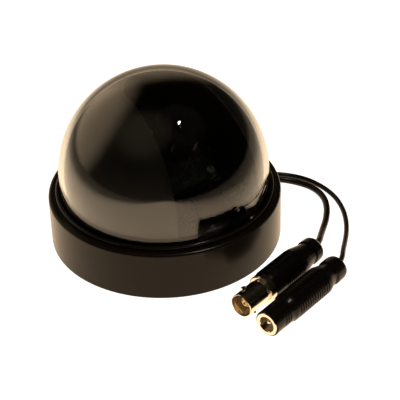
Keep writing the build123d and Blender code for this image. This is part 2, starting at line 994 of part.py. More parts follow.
half_pitch = board_hole_pitch / 2
with BuildPart() as board_standoffs:
    with BuildSketch(head.offset(cradle_back + cradle_sheet)):
        with GridLocations(board_hole_pitch, board_hole_pitch, 2, 2):
            Circle(standoff_radius)
    extrude(amount=board_height - cradle_back - cradle_sheet)
    with BuildSketch(head.offset(board_height)):
        with GridLocations(board_hole_pitch, board_hole_pitch, 2, 2):
            Circle(m2_radius + screw_play)
    extrude(amount=-1.9, mode=Mode.SUBTRACT)
save("board_standoffs", board_standoffs)

with BuildPart() as camera_board:
    with BuildSketch(head.offset(board_height)):
        RectangleRounded(board_size, board_size, 1.5)
        with GridLocations(board_hole_pitch, board_hole_pitch, 2, 2):
            Circle(m2_radius + screw_play, mode=Mode.SUBTRACT)
        with GridLocations(mount_screw_pitch, 0, 2, 1):
            Circle(m2_radius + screw_play, mode=Mode.SUBTRACT)
    extrude(amount=board_thickness)
save("camera_board", camera_board)

with BuildPart() as board_screws:
    for side_x in (-1, 1):
        for side_y in (-1, 1):
            corner = head.from_local_coords(
                (side_x * half_pitch, side_y * half_pitch, board_front)
            )
            add(
                screw(
                    Plane(origin=corner, x_dir=head.x_dir, z_dir=head.z_dir),
                    m2_radius,
                    board_thickness + 1.7,
                    m2_head,
                    m2_head_height,
                )
            )
save("board_screws", board_screws)

with BuildPart() as board_parts:
    with BuildSketch(head.offset(board_height)):
        with Locations((-4.5, 0)):
            Rectangle(7.0, 7.0)
    extrude(amount=-1.1)
    with BuildSketch(head.offset(board_front)):
        with Locations((-6.5, 11.0), (6.5, 11.0)):
            Circle(2.0)
    extrude(amount=3.6)
    with BuildSketch(head.offset(board_front)):
        with Locations((-5.0, -11.2), (0.0, -11.2), (5.0, -11.2)):
            Rectangle(3.2, 2.4)
    extrude(amount=1.2)
save("board_parts", board_parts)

with BuildPart() as image_sensor:
    with BuildSketch(head.offset(board_front)):
        Rectangle(sensor_size, sensor_size)
    extrude(amount=sensor_thickness)
save("image_sensor", image_sensor)

with BuildPart() as board_connector:
    with BuildSketch(head.offset(board_height)):
        with Locations((connector_offset, 0)):
            Rectangle(connector_size[0], connector_size[1])
    extrude(amount=-connector_size[2])
save("board_connector", board_connector)

with BuildPart() as harness_tilt:
    tilt_points = [
        (8.3, 0, 0),
        (connector_offset, 0, 0),
        (connector_offset, 0, board_height - connector_size[2]),
    ]
    with BuildLine() as tilt_route:
        FilletPolyline(*[head.from_local_coords(p) for p in tilt_points], radius=1.8)
    with BuildSketch(Plane(origin=tilt_route.line @ 0, z_dir=tilt_route.line % 0)):
        Circle(harness_radius)
    sweep()
save("harness_tilt", harness_tilt)

with BuildPart() as lens_mount:
    with BuildSketch(head.offset(board_front)):
        RectangleRounded(mount_flange[0], mount_flange[1], 2.0)
    extrude(amount=mount_flange[2])
    with BuildSketch(head.offset(board_front)):
        Circle(lens_tube_radius)
    extrude(amount=lens_tube_top - board_front)
    with BuildSketch(head.offset(board_front)):
        Circle(lens_radius + running_fit)
        with GridLocations(mount_screw_pitch, 0, 2, 1):
            Circle(m2_radius + screw_play)
    extrude(amount=lens_tube_top, mode=Mode.SUBTRACT)
save("lens_mount", lens_mount)

with BuildPart() as mount_screws:
    for side in (-1, 1):
        seat = head.from_local_coords(
            (side * mount_screw_pitch / 2, 0, board_front + mount_flange[2])
        )
        add(
            screw(
                Plane(origin=seat, x_dir=head.x_dir, z_dir=head.z_dir),
                m2_radius,
                mount_flange[2] + board_thickness,
                m2_head,
                m2_head_height,
            )
        )
save("mount_screws", mount_screws)

# ---------------------------------------------------------------- lens, which turns in its mount to focus
with BuildPart() as lens_barrel:
    add(
        turned(
            head,
            [
                (lens_rear_bore, lens_back),
                (lens_radius, lens_back),
                (lens_radius, lens_neck),
                (lens_head_radius, lens_neck),
                (lens_head_radius, lens_head_top),
                (front_glass_radius + screw_play, lens_head_top),
                (front_glass_radius + screw_play, front_glass_seat),
                (stop_radius, front_glass_seat),
                (stop_radius, front_glass_seat - 3),
                (lens_rear_bore, front_glass_seat - 6),
            ],
        )
    )
save("lens_barrel", lens_barrel)

with BuildPart() as lens_front_glass:
    with BuildSketch(profile_plane(head)):
        with BuildLine():
            glass_top = front_glass_seat + front_glass_thickness
            glass_turn = asin(front_glass_radius / front_glass_curve)
            glass_rim = glass_top - front_glass_curve * (1 - cos(glass_turn))
            CenterArc(
                (0, glass_top - front_glass_curve),
                front_glass_curve,
                90,
                -degrees(glass_turn),
            )
            Polyline(
                (front_glass_radius, glass_rim),
                (front_glass_radius, front_glass_seat),
                (0, front_glass_seat),
                (0, glass_top),
            )
        make_face()
    revolve(axis=Axis(head.origin, head.z_dir))
save("lens_front_glass", lens_front_glass)

with BuildPart() as lens_rear_glass:
    with BuildSketch(head.offset(lens_back + 1.2)):
        Circle(lens_rear_bore - screw_play)
    extrude(amount=2.4)
save("lens_rear_glass", lens_rear_glass)

with BuildPart() as lens_rear_ring:
    with BuildSketch(head.offset(lens_back)):
        Circle(lens_rear_bore - screw_play)
        Circle(lens_rear_bore - 1.2, mode=Mode.SUBTRACT)
    extrude(amount=1.1)
save("lens_rear_ring", lens_rear_ring)

with BuildPart() as lens_bezel:
    bezel_back = lens_head_top + screw_play
    step_out = (bezel_radius - 0.7 - bezel_opening) / bezel_steps
    step_up = (bezel_front - bezel_back - 0.4) / bezel_steps
    steps = []
    for step in range(bezel_steps):
        ring_radius = bezel_radius - 0.7 - step * step_out
        ring_height = bezel_front - step * step_up
        steps.append((ring_radius, ring_height))
        steps.append((ring_radius, ring_height - step_up))
    add(
        turned(
            head,
            [
                (lens_head_radius + screw_play, lens_neck + 0.4),
                (bezel_radius, lens_neck + 0.4),
                (bezel_radius, bezel_front - 0.4),
                (bezel_radius - 0.4, bezel_front),
                *steps,
                (bezel_opening, bezel_front - bezel_steps * step_up),
                (bezel_opening, bezel_back),
                (lens_head_radius + screw_play, bezel_back),
            ],
        )
    )
save("lens_bezel", lens_bezel)

with BuildPart() as focus_lock_ring:
    with BuildSketch(head.offset(lens_tube_top + turn_gap)):
        Circle(lock_ring_radius)
        Circle(lens_radius + screw_play, mode=Mode.SUBTRACT)
        with PolarLocations(lock_ring_radius, 24):
            Circle(0.35, mode=Mode.SUBTRACT)
    extrude(amount=lock_ring_height)
save("focus_lock_ring", focus_lock_ring)
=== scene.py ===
import json
import math

import bmesh
import bpy
from mathutils import Matrix, Vector


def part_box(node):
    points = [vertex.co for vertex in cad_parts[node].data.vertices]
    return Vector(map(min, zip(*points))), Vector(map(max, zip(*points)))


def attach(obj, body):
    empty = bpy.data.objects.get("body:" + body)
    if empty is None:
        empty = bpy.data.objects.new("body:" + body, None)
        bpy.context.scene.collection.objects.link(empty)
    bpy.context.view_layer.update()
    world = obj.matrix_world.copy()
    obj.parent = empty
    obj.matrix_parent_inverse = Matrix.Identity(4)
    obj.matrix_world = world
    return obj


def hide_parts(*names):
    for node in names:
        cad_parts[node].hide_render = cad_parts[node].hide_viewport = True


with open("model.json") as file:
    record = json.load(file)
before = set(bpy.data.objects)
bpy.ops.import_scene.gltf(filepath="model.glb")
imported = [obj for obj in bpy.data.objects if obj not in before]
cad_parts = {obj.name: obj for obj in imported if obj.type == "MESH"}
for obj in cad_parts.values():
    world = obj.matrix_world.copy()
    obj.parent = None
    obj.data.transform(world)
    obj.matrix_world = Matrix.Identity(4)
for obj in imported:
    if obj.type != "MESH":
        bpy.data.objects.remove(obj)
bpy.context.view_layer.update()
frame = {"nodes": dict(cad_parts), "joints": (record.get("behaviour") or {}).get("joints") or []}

mm = 0.001
nodes = frame["nodes"]
joints = {joint["name"]: joint for joint in frame["joints"]}
pan_axis_height = joints["tilt"]["pos_m"][2]


# ---------------------------------------------------------------- camera
# A long lens about six hundred millimetres off, looking down over the corner between the sighting
# slot and the side where the leads leave. The object lies a little left of the middle and below it.
view_from_lens = math.radians(-35)
view_height = math.radians(35.68)
view_roll = math.radians(-2.63)
view_distance = 617.5 * mm
aim_right = 13.96 * mm
aim_up = 11.47 * mm

across = Vector((math.cos(view_from_lens), math.sin(view_from_lens), 0))
behind = Vector((-math.sin(view_from_lens), math.cos(view_from_lens), 0))
to_camera = -behind * math.cos(view_height) + Vector((0, 0, math.sin(view_height)))
upright = behind * math.sin(view_height) + Vector((0, 0, math.cos(view_height)))
picture_right = across * math.cos(view_roll) + upright * math.sin(view_roll)
picture_up = upright * math.cos(view_roll) - across * math.sin(view_roll)
camera_place = to_camera * view_distance
camera_back = (camera_place - picture_right * aim_right - picture_up * aim_up).normalized()
camera_right = (picture_right - camera_back * picture_right.dot(camera_back)).normalized()
camera_up = camera_back.cross(camera_right)

camera_data = bpy.data.cameras.new("camera")
camera_data.lens = 133.3
camera_data.sensor_width = 36.0
camera_data.clip_start = 0.02
camera = bpy.data.objects.new("camera", camera_data)
camera.matrix_world = Matrix.Translation(camera_place) @ Matrix(
    (camera_right, camera_up, camera_back)
).transposed().to_4x4()
bpy.context.scene.collection.objects.link(camera)
bpy.context.scene.camera = camera


# ---------------------------------------------------------------- floor, backdrop and lights
# A wide white paper sheet that glows. Straight on it is an even white; in reflections and in the light it
# throws, its glow is a painted pool of warm light, bright round the object and darker further off. The
# room is dark, with a window on the left, a low glow behind and a small lamp.
class Value:
    """One output of a shader node. Arithmetic with it adds Math nodes to the same tree."""

    def __init__(self, maker, socket):
        self.maker = maker
        self.socket = socket

    def math(self, operation, *others):
        inputs = dict(enumerate((self, *others)))
        return self.maker.node("ShaderNodeMath", {"operation": operation}, inputs)

    def __add__(self, other):
        return self.math("ADD", other)

    __radd__ = __add__

    def __mul__(self, other):
        return self.math("MULTIPLY", other)

    __rmul__ = __mul__

    def __sub__(self, other):
        return self.math("SUBTRACT", other)

    def __rsub__(self, other):
        return (self * -1.0) + other

    def __lt__(self, other):
        return self.math("LESS_THAN", other)

    def between(self, low, high):
        """0 at low, 1 at high and beyond, smooth from one to the other."""
        settings = {"interpolation_type": "SMOOTHSTEP"}
        inputs = {"Value": self, "From Min": low, "From Max": high}
        return self.maker.node("ShaderNodeMapRange", settings, inputs)


class Nodes:
    """A tree of shader nodes being made."""

    def __init__(self, tree):
        self.tree = tree
        self.tree.nodes.clear()

    def node(self, kind, settings, inputs, output=0):
        """Adds a node, sets it, fills or links its inputs, and gives back one output if it has any."""
        made = self.tree.nodes.new(kind)
        for setting, value in settings.items():
            setattr(made, setting, value)
        for socket, value in inputs.items():
            self.join(value, made.inputs[socket])
        if made.outputs:
            return Value(self, made.outputs[output])

    def join(self, value, socket):
        if isinstance(value, Value):
            self.tree.links.new(value.socket, socket)
        else:
            socket.default_value = value

    def dot(self, place, direction):
        """How far a place lies along a direction."""
        settings = {"operation": "DOT_PRODUCT"}
        return self.node("ShaderNodeVectorMath", settings, {0: place, 1: direction}, "Value")


class Finish(Nodes):
    """A material being made: one Principled shader and the nodes that feed it."""

    def __init__(self, name, **constants):
        self.material = bpy.data.materials.new(name)
        self.material.use_nodes = True
        super().__init__(self.material.node_tree)
        self.shader = self.tree.nodes.new("ShaderNodeBsdfPrincipled")
        output = self.tree.nodes.new("ShaderNodeOutputMaterial")
        self.tree.links.new(self.shader.outputs["BSDF"], output.inputs["Surface"])
        for socket, value in constants.items():
            self.shader.inputs[socket.replace("_", " ")].default_value = value

    def feed(self, **inputs):
        for socket, value in inputs.items():
            self.join(value, self.shader.inputs[socket.replace("_", " ")])

    def place(self, stretch=(1, 1, 1)):
        """Where a point is on the object, in metres, stretched along an axis for a directional grain."""
        where = self.node("ShaderNodeTexCoord", {}, {}, "Object")
        if stretch == (1, 1, 1):
            return where
        return self.node("ShaderNodeMapping", {}, {"Vector": where, "Scale": stretch})

    def noise(self, size, detail=2.0, stretch=(1, 1, 1)):
        """Soft noise from 0 to 1 with spots of a size in metres."""
        inputs = {"Vector": self.place(stretch), "Scale": 1 / size, "Detail": detail}
        return self.node("ShaderNodeTexNoise", {}, inputs, "Fac")

    def cells(self, size, feature="F1", output="Distance"):
        """Distance from scattered points that stand a size in metres apart."""
        inputs = {"Vector": self.place(), "Scale": 1 / size}
        return self.node("ShaderNodeTexVoronoi", {"feature": feature}, inputs, output)

    def blend(self, mask, colour_a, colour_b):
        """One colour where the mask is 0 and another where it is 1."""
        inputs = {0: mask}
        for socket, colour in ((6, colour_a), (7, colour_b)):
            inputs[socket] = colour if isinstance(colour, Value) else (*colour, 1)
        return self.node("ShaderNodeMix", {"data_type": "RGBA"}, inputs, 2)

    def bump(self, height, depth, strength=1.0):
        """Relief of a depth in metres where the height goes from 0 to 1."""
        inputs = {"Height": height, "Distance": depth, "Strength": strength}
        return self.node("ShaderNodeBump", {}, inputs, "Normal")


white = (1.1, 1.1, 1.1)
# Colours of the paper's painted glow: warm and bright near the object, dim far off.
glow_near = (1.55, 1.16, 0.78)
glow_far = (0.09, 0.07, 0.05)
floor_drop = 0.1 * mm
floor_half = 4.0

floor_shape = bmesh.new()
bmesh.ops.create_grid(
    floor_shape, x_segments=1, y_segments=1, size=floor_half,
    matrix=Matrix.Translation((0, 0, -floor_drop)),
)
floor_mesh = bpy.data.meshes.new("floor")
floor_shape.to_mesh(floor_mesh)
floor_shape.free()
floor = bpy.data.objects.new("floor", floor_mesh)
bpy.context.scene.collection.objects.link(floor)

paper = Finish("paper", Roughness=0.9, Specular_IOR_Level=0.0, Emission_Strength=1.0)


def fades(direction, start, end):
    """1 near the object and 0 beyond the end, along a direction on the floor, in metres."""
    return 1 - paper.dot(paper.place(), direction).between(start, end)


# Painted pool of glow on the paper, bright round the object and fading off; it shows only in reflections
# and in the light the paper throws.
painted_glow_pool = fades(behind, -0.02, 0.33) * fades(across, 0.02, 0.30) * fades(-across, 0.10, 0.36)
paper_painted_glow = paper.blend(1 - painted_glow_pool, glow_near, glow_far)
paper_seen = paper.node("ShaderNodeLightPath", {}, {}, "Is Camera Ray")
paper.feed(
    Base_Color=paper.blend(paper.noise(60 * mm), (0.42, 0.38, 0.33), (0.45, 0.41, 0.36)),
    Emission_Color=paper.blend(paper_seen, paper_painted_glow, white),
)
floor.data.materials.append(paper.material)

world = bpy.data.worlds.new("room")
world.use_nodes = True
room = Nodes(world.node_tree)
room_side = room.node("ShaderNodeTexCoord", {}, {}, "Generated")
room_warm = (1.0, 0.73, 0.47)
room_dark = 0.006


def patch(left, up, full, none, strength):
    """Soft light on the room's walls, in degrees: left of behind and up, full within, none beyond."""
    level = across * -math.sin(math.radians(left)) + behind * math.cos(math.radians(left))
    middle = level * math.cos(math.radians(up)) + Vector((0, 0, math.sin(math.radians(up))))
    nearness = room.dot(room_side, middle)
    return nearness.between(math.cos(math.radians(none)), math.cos(math.radians(full))) * strength


window = patch(55, 17, 18, 44, 0.80)
low_glow = patch(8, 8, 8, 32, 0.36)
high_glow = patch(125, 66, 5, 34, 0.12)
room_light = window + low_glow + high_glow + room_dark
room_lit = room.node("ShaderNodeBackground", {}, {"Color": (*room_warm, 1), "Strength": room_light})
room_seen = room.node("ShaderNodeBackground", {}, {"Color": (*white, 1)})
room_ray = room.node("ShaderNodeLightPath", {}, {}, "Is Camera Ray")
room_mix = room.node("ShaderNodeMixShader", {}, {0: room_ray, 1: room_lit, 2: room_seen})
room.node("ShaderNodeOutputWorld", {}, {"Surface": room_mix})
bpy.context.scene.world = world
bpy.context.scene.view_settings.view_transform = "Standard"

lamp_place = across * 0.272 + behind * (-0.079) + Vector((0, 0, 0.958))
lamp_turn = lamp_place.to_track_quat("Z", "Y").to_matrix().to_4x4()
lamp_data = bpy.data.lights.new("small_lamp", "AREA")
lamp_data.shape = "RECTANGLE"
lamp_data.size = 45 * mm
lamp_data.size_y = 30 * mm
lamp_data.energy = 3.0
lamp_data.color = (1.0, 0.88, 0.74)
lamp = bpy.data.objects.new("small_lamp", lamp_data)
lamp.matrix_world = Matrix.Translation(lamp_place) @ lamp_turn
lamp.visible_camera = False
bpy.context.scene.collection.objects.link(lamp)


# ---------------------------------------------------------------- leads
# Two soft PVC leads, a thicker one for video and a thinner one for power. They leave the base through
# its rubber grommet, lie on the table in one loose bow, and end in their moulded boots.
def solid(shape, name, edge=0.0, segments=3, sharp=30):
    """Makes a piece from a closed bmesh, with its corners rounded by edge, in metres."""
    if edge:
        corners = [
            line for line in shape.edges
            if len(line.link_faces) == 2 and line.calc_face_angle() > math.radians(sharp)
        ]
        bmesh.ops.bevel(
            shape, geom=corners, offset=edge, offset_type="OFFSET", affect="EDGES",
            segments=segments, profile=0.5, material=-1, clamp_overlap=True,
        )
    mesh = bpy.data.meshes.new(name)
    shape.to_mesh(mesh)
    shape.free()
    mesh.shade_smooth()
    mesh.set_sharp_from_angle(angle=math.radians(sharp))
    made = bpy.data.objects.new(name, mesh)
    bpy.context.scene.collection.objects.link(made)
    made.modifiers.new("corner_shading", "WEIGHTED_NORMAL").keep_sharp = True
    return made


def stands_for(made, node, body, finish):
    """A piece takes the place of a CAD node, rides on its body and wears a finish."""
    made.data.materials.append(finish.material)
    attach(made, body)
    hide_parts(node)
    return made


lead_jacket = Finish("lead_jacket", Specular_IOR_Level=0.2)
lead_grain = lead_jacket.noise(1.2 * mm)
lead_jacket.feed(
    Base_Color=lead_jacket.blend(lead_grain, (0.003, 0.0025, 0.002), (0.007, 0.006, 0.005)),
    Roughness=lead_grain * 0.10 + 0.26,
    Normal=lead_jacket.bump(lead_jacket.noise(0.5 * mm), 0.02 * mm, 0.5),
)


def lead(name, points, radius):
    """A round lead whose line is a smooth spline of the route's points, in metres."""
    data = bpy.data.curves.new(name, "CURVE")
    data.dimensions = "3D"
    data.bevel_depth = radius
    data.bevel_resolution = 6
    data.resolution_u = 16
    data.use_fill_caps = True
    spline = data.splines.new("NURBS")
    spline.points.add(len(points) - 1)
    for point, place in zip(spline.points, points):
        point.co = (*place, 1)
    spline.order_u = 3
    spline.use_endpoint_u = True
    made = bpy.data.objects.new(name, data)
    bpy.context.scene.collection.objects.link(made)
    return stands_for(made, name.replace("lead", "cord"), "base", lead_jacket)


video_radius = 1.35 * mm
power_radius = 1.05 * mm
bnc_back = (0.0331, -0.05575, 0.00625)
dc_back = (0.0326, -0.0704, 0.00595)
video_points = [
    (0.0340, -0.0023, 0.0046),
    (0.0420, -0.00235, 0.0046),
    (0.0500, -0.0028, 0.0044),
    (0.0572, -0.0054, 0.0026),
    (0.0628, -0.0112, 0.0015),
    (0.0653, -0.0188, 0.0014),
    (0.0638, -0.0268, 0.0014),
    (0.0594, -0.0336, 0.0014),
    (0.0536, -0.0394, 0.00145),
    (0.0474, -0.0444, 0.0023),
    (0.0416, -0.0494, 0.0041),
    (0.0374, -0.0532, 0.0056),
    bnc_back,
]
power_points = [
    (0.0340, 0.0020, 0.0046),
    (0.0420, 0.00195, 0.0046),
    (0.0500, 0.0016, 0.0043),
    (0.0578, 0.0000, 0.0023),
    (0.0639, -0.0044, 0.00115),
    (0.0677, -0.0114, 0.00106),
    (0.0690, -0.0198, 0.00106),
    (0.0682, -0.0286, 0.00106),
    (0.0650, -0.0370, 0.00106),
    (0.0602, -0.0446, 0.00106),
    (0.0544, -0.0512, 0.0013),
    (0.0478, -0.0574, 0.0027),
    (0.0418, -0.0628, 0.0045),
    (0.0372, -0.0674, 0.0057),
    dc_back,
]
lead_video = lead("lead_video", video_points, video_radius)
lead_power = lead("lead_power", power_points, power_radius)


# ---------------------------------------------------------------- video jack
# An inline bayonet jack: a nickel-plated brass shell with two lugs, a cream PTFE insulator and a
# gilded socket contact. Its ferrule is moulded into a black PVC boot with fine rings.
def along_axis(start, end):
    """The place of a turned piece whose own Z runs from start to end, with its X up."""
    run = (Vector(end) - Vector(start)).normalized()
    top = Vector((0, 0, 1))
    sideways = run.cross(top)
    return Matrix.Translation(start) @ Matrix((top, sideways, run)).transposed().to_4x4()


def turned(name, outline, place, edge=0.0, steps=96, sharp=30):
    """Spins an outline of (radius, distance) in millimetres about the place's Z axis."""
    shape = bmesh.new()
    corners = [shape.verts.new((radius * mm, 0, distance * mm)) for radius, distance in outline]
    lines = [
        shape.edges.new((start, end))
        for start, end in zip(corners, corners[1:] + corners[:1])
        if start.co.x or end.co.x
    ]
    bmesh.ops.spin(
        shape, geom=corners + lines, cent=(0, 0, 0), axis=(0, 0, 1), dvec=(0, 0, 0),
        angle=math.tau, steps=steps, use_merge=True, use_duplicate=False,
    )
    bmesh.ops.remove_doubles(shape, verts=shape.verts, dist=1e-7)
    bmesh.ops.recalc_face_normals(shape, faces=shape.faces)
    shape.transform(place)
    return solid(shape, name, edge * mm, sharp=sharp)


def rings(radius, start, pitch, count, depth, share=0.5):
    """Outline points of evenly spaced grooves round a barrel, from start onwards, in millimetres."""
    points = []
    for turn in range(count):
        at = start + turn * pitch
        points += [
            (radius, at),
            (radius - depth, at + 0.12 * pitch),
            (radius - depth, at + share * pitch - 0.12 * pitch),
            (radius, at + share * pitch),
        ]
    return points


bnc_face = (-0.0135, -0.0663, 0.00625)
bnc_place = along_axis(bnc_face, bnc_back)
bnc_length = (Vector(bnc_back) - Vector(bnc_face)).length / mm
bnc_barrel = 4.8
bnc_bore = 4.0
bnc_bore_depth = 9.0
bnc_ferrule = 4.2
bnc_ferrule_end = 21.0
bnc_flange_start = 12.2
bnc_flange_end = 14.8
bnc_flange_radius = 5.9
bnc_lug_radius = 1.0
bnc_lug_reach = 5.7
bnc_lug_place = 4.6
bnc_lug_turn = math.radians(-30)
bnc_mouth_flare = 0.4
bnc_mouth_depth = 1.4
bnc_neck_drop = 0.35

nickel = Finish("nickel_plate", Metallic=1.0)
nickel_haze = nickel.noise(2.5 * mm, 3.0)
nickel.feed(
    Base_Color=nickel.blend(nickel_haze, (0.78, 0.71, 0.60), (0.88, 0.83, 0.74)),
    Roughness=nickel_haze * 0.10 + 0.09,
    Normal=nickel.bump(nickel.noise(0.25 * mm, 2.0), 0.004 * mm, 0.4),
)
bnc_shell = turned(
    "bnc_shell",
    [
        (bnc_bore, bnc_mouth_depth), (bnc_bore + bnc_mouth_flare, 0), (bnc_barrel - 0.15, 0),
        (bnc_barrel, 0.15), (bnc_barrel, bnc_flange_start - 1.2),
        (bnc_barrel - bnc_neck_drop, bnc_flange_start - 1.0),
        (bnc_barrel - bnc_neck_drop, bnc_flange_start), (bnc_flange_radius - 0.4, bnc_flange_start),
        (bnc_flange_radius, bnc_flange_start + 0.4), (bnc_flange_radius, bnc_flange_end),
        (bnc_ferrule, bnc_flange_end), (bnc_ferrule, bnc_ferrule_end), (0, bnc_ferrule_end),
        (0, bnc_bore_depth), (bnc_bore, bnc_bore_depth),
    ],
    bnc_place,
    edge=0.07,
)
stands_for(bnc_shell, "bnc_body", "base", nickel)

lug_length = (bnc_lug_reach - bnc_barrel + 0.5) * mm
lug_shape = bmesh.new()
for side in (0, math.pi):
    lug_place = (
        bnc_place
        @ Matrix.Translation((0, 0, bnc_lug_place * mm))
        @ Matrix.Rotation(bnc_lug_turn + side, 4, "Z")
        @ Matrix.Rotation(math.pi / 2, 4, "Y")
        @ Matrix.Translation((0, 0, bnc_lug_reach * mm - lug_length / 2))
    )
    bmesh.ops.create_cone(
        lug_shape, cap_ends=True, segments=32, radius1=bnc_lug_radius * mm,
        radius2=bnc_lug_radius * mm, depth=lug_length, matrix=lug_place,
    )
bnc_lugs = solid(lug_shape, "bnc_lugs", 0.15 * mm)
bnc_lugs.data.materials.append(nickel.material)
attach(bnc_lugs, "base")

cream = Finish("cream_ptfe", Specular_IOR_Level=0.5, Subsurface_Weight=0.25, Subsurface_Scale=0.6 * mm)
cream_cloud = cream.noise(1.5 * mm, 3.0)
cream.feed(
    Base_Color=cream.blend(cream_cloud, (0.74, 0.58, 0.36), (0.84, 0.71, 0.50)),
    Roughness=cream_cloud * 0.15 + 0.35,
    Normal=cream.bump(cream.noise(0.3 * mm), 0.01 * mm, 0.5),
)
bnc_contact_radius = 1.1
bnc_sleeve_hole = bnc_contact_radius + 0.05
bnc_sleeve_radius = 2.1
bnc_sleeve_front = 3.0
bnc_washer_front = 7.6
bnc_insulator = turned(
    "bnc_socket_insulator",
    [
        (bnc_sleeve_hole, bnc_sleeve_front), (bnc_sleeve_radius, bnc_sleeve_front),
        (bnc_sleeve_radius, bnc_washer_front - 0.4), (bnc_sleeve_radius + 0.35, bnc_washer_front),
        (bnc_bore - 0.05, bnc_washer_front), (bnc_bore - 0.05, bnc_bore_depth - 0.05),
        (bnc_sleeve_hole, bnc_bore_depth - 0.05),
    ],
    bnc_place,
    edge=0.1,
)
stands_for(bnc_insulator, "bnc_insulator", "base", cream)

gilt = Finish("gilt_contact", Metallic=1.0)
gilt_haze = gilt.noise(0.8 * mm, 3.0)
gilt.feed(
    Base_Color=gilt.blend(gilt_haze, (0.86, 0.58, 0.22), (0.93, 0.70, 0.34)),
    Roughness=gilt_haze * 0.15 + 0.12,
    Normal=gilt.bump(gilt.noise(0.2 * mm), 0.004 * mm, 0.4),
)
bnc_contact = turned(
    "bnc_socket_contact",
    [
        (0.55, 2.15), (0.7, 2.0), (0.95, 2.0), (bnc_contact_radius, 2.2),
        (bnc_contact_radius, bnc_bore_depth - 0.05), (0, bnc_bore_depth - 0.05), (0, 6.5), (0.55, 6.5),
    ],
    bnc_place,
    edge=0.03,
    steps=48,
)
stands_for(bnc_contact, "bnc_contact", "base", gilt)

moulded = Finish("moulded_boot", Specular_IOR_Level=0.2)
moulded_grain = moulded.noise(2.0 * mm, 3.0)
moulded_fine = moulded.noise(0.22 * mm, 2.0)
moulded.feed(
    Base_Color=moulded.blend(moulded_grain, (0.003, 0.0025, 0.002), (0.007, 0.006, 0.005)),
    Roughness=moulded_grain * 0.08 + moulded_fine * 0.04 + 0.19,
    Normal=moulded.bump(moulded_fine, 0.02 * mm, 0.35),
)
bnc_boot_radius = 6.2
bnc_boot_start = bnc_flange_end + 0.05
bnc_boot = turned(
    "bnc_boot_moulding",
    [
        (bnc_ferrule + 0.05, bnc_boot_start), (bnc_boot_radius - 0.6, bnc_boot_start),
        (bnc_boot_radius - 0.25, bnc_boot_start + 0.35), (bnc_boot_radius, bnc_boot_start + 1.6),
        *rings(bnc_boot_radius, 21.4, 1.35, 9, 0.4),
        (bnc_boot_radius, 33.6), (bnc_boot_radius - 0.2, 35.4), (bnc_boot_radius - 0.7, 37.6),
        (5.0, 40.2), (4.75, 41.4), (4.75, 42.2), (5.2, 42.6), (5.2, 45.0), (5.0, 46.3),
        (4.3, bnc_length - 0.5), (3.2, bnc_length - 0.05), (0, bnc_length),
        (0, bnc_ferrule_end + 0.05), (bnc_ferrule + 0.05, bnc_ferrule_end + 0.05),
    ],
    bnc_place,
    edge=0.08,
    sharp=24,
)
stands_for(bnc_boot, "bnc_boot", "base", moulded)


# ---------------------------------------------------------------- power jack
# An inline coaxial jack: a nickel-plated ring round a 2.1 mm pin, moulded into a black PVC grip with a
# plain nose, a thicker ribbed part for the fingers and a collar where the lead goes in.
dc_face = (-0.0129, -0.0806, 0.00595)
dc_place = along_axis(dc_face, dc_back)
dc_length = (Vector(dc_back) - Vector(dc_face)).length / mm
dc_ring = 4.7
dc_bore = 3.2
dc_bore_depth = 9.5
dc_pin_radius = 1.05
dc_nose_radius = 5.26
dc_grip_radius = 5.9

dc_sleeve = turned(
    "dc_ring",
    [
        (dc_bore, 0.25), (dc_bore + 0.25, 0), (dc_ring - 0.15, 0), (dc_ring, 0.15),
        (dc_ring, dc_bore_depth + 1), (dc_bore, dc_bore_depth + 1),
    ],
    dc_place,
    edge=0.06,
)
stands_for(dc_sleeve, "dc_sleeve", "base", nickel)

dc_pin = turned(
    "dc_centre_pin",
    [
        (0, 1.2), (0.45, 1.25), (dc_pin_radius - 0.2, 1.6), (dc_pin_radius, 2.3),
        (dc_pin_radius, dc_bore_depth + 1), (0, dc_bore_depth + 1),
    ],
    dc_place,
    steps=48,
)
stands_for(dc_pin, "dc_pin", "base", nickel)

dc_boot = turned(
    "dc_grip_moulding",
    [
        (dc_ring + 0.05, 0.3), (dc_nose_radius - 0.3, 0.3), (dc_nose_radius, 0.7),
        *rings(dc_nose_radius, 5.6, 1.4, 3, 0.35),
        (dc_nose_radius, 10.8), (dc_grip_radius - 0.4, 11.4), (dc_grip_radius, 12.4),
        *rings(dc_grip_radius, 14.0, 1.5, 13, 0.42),
        (dc_grip_radius, 34.0), (dc_grip_radius - 0.4, 35.4), (4.75, 38.0), (4.6, 38.6),
        (4.6, 39.4), (5.15, 39.9), (5.2, 40.6), (5.2, 43.8), (4.8, 45.2),
        (3.9, dc_length - 0.5), (2.8, dc_length - 0.05), (0, dc_length),
        (0, dc_bore_depth + 1.05), (dc_ring + 0.05, dc_bore_depth + 1.05),
    ],
    dc_place,
    edge=0.08,
    sharp=24,
)
stands_for(dc_boot, "dc_boot", "base", moulded)


def dress(finish, *names):
    """Gives CAD parts whose shape is already right their finish."""
    for name in names:
        nodes[name].material_slots[0].material = finish.material


# ---------------------------------------------------------------- base plate
# A round black ABS moulding that is screwed to the ceiling. Its rim carries the cover, its centre post
# the turntable. The top is spark-eroded to a fine grain, with a few pale scuffs from handling.
base_black = Finish("base_moulding", Specular_IOR_Level=0.35)
base_grain = base_black.noise(0.5 * mm, 3.0)
base_cloud = base_black.noise(14 * mm, 3.0)
base_scuff = base_black.noise(3 * mm, 6.0, (1, 6, 1)).between(0.62, 0.72)
base_black.feed(
    Base_Color=base_black.blend(base_scuff * 0.35, (0.013, 0.012, 0.010), (0.05, 0.045, 0.04)),
    Roughness=base_cloud * 0.14 + base_scuff * 0.12 + 0.36,
    Normal=base_black.bump(base_grain, 0.04 * mm, 0.4),
)
dress(base_black, "base_plate", "cord_clamp", "dome_retainer")


